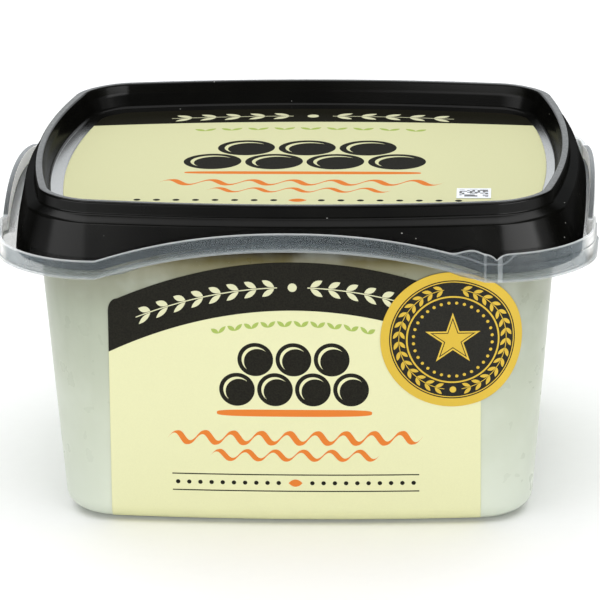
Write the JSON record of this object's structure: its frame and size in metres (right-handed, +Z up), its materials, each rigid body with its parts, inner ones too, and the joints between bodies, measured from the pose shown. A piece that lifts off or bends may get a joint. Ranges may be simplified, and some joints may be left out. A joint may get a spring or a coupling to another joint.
{
  "type": "lidded tub of fresh cheese in brine",
  "caption": "Shut squarish milky plastic food tub with a sunken-top black lid, a wavy clear tear-off collar, two paper labels, a round gold sticker and a small code sticker.",
  "frame": {"origin": "middle of the foot, on the surface that the tub stands on", "axes": "+Z up, the front with the large label faces -Y, +X along the longer side, to the right as seen from the front"},
  "size_m": [0.129, 0.1172, 0.0728],
  "materials": {
    "milky_plastic": "satin, milky, slightly translucent",
    "clear_plastic": "clear, slightly cloudy",
    "black_plastic": "glossy",
    "label_paper": "smooth print, satin",
    "gold_foil": "metallic print, satin",
    "white_paper": "matte"
  },
  "bodies": {
    "root": {"tub": "milky_plastic", "tear_collar": "clear_plastic", "front_label": "label_paper", "award_sticker": "gold_foil", "lid": "black_plastic", "lid_label": "label_paper", "code_sticker": "white_paper"}
  },
  "joints": []
}
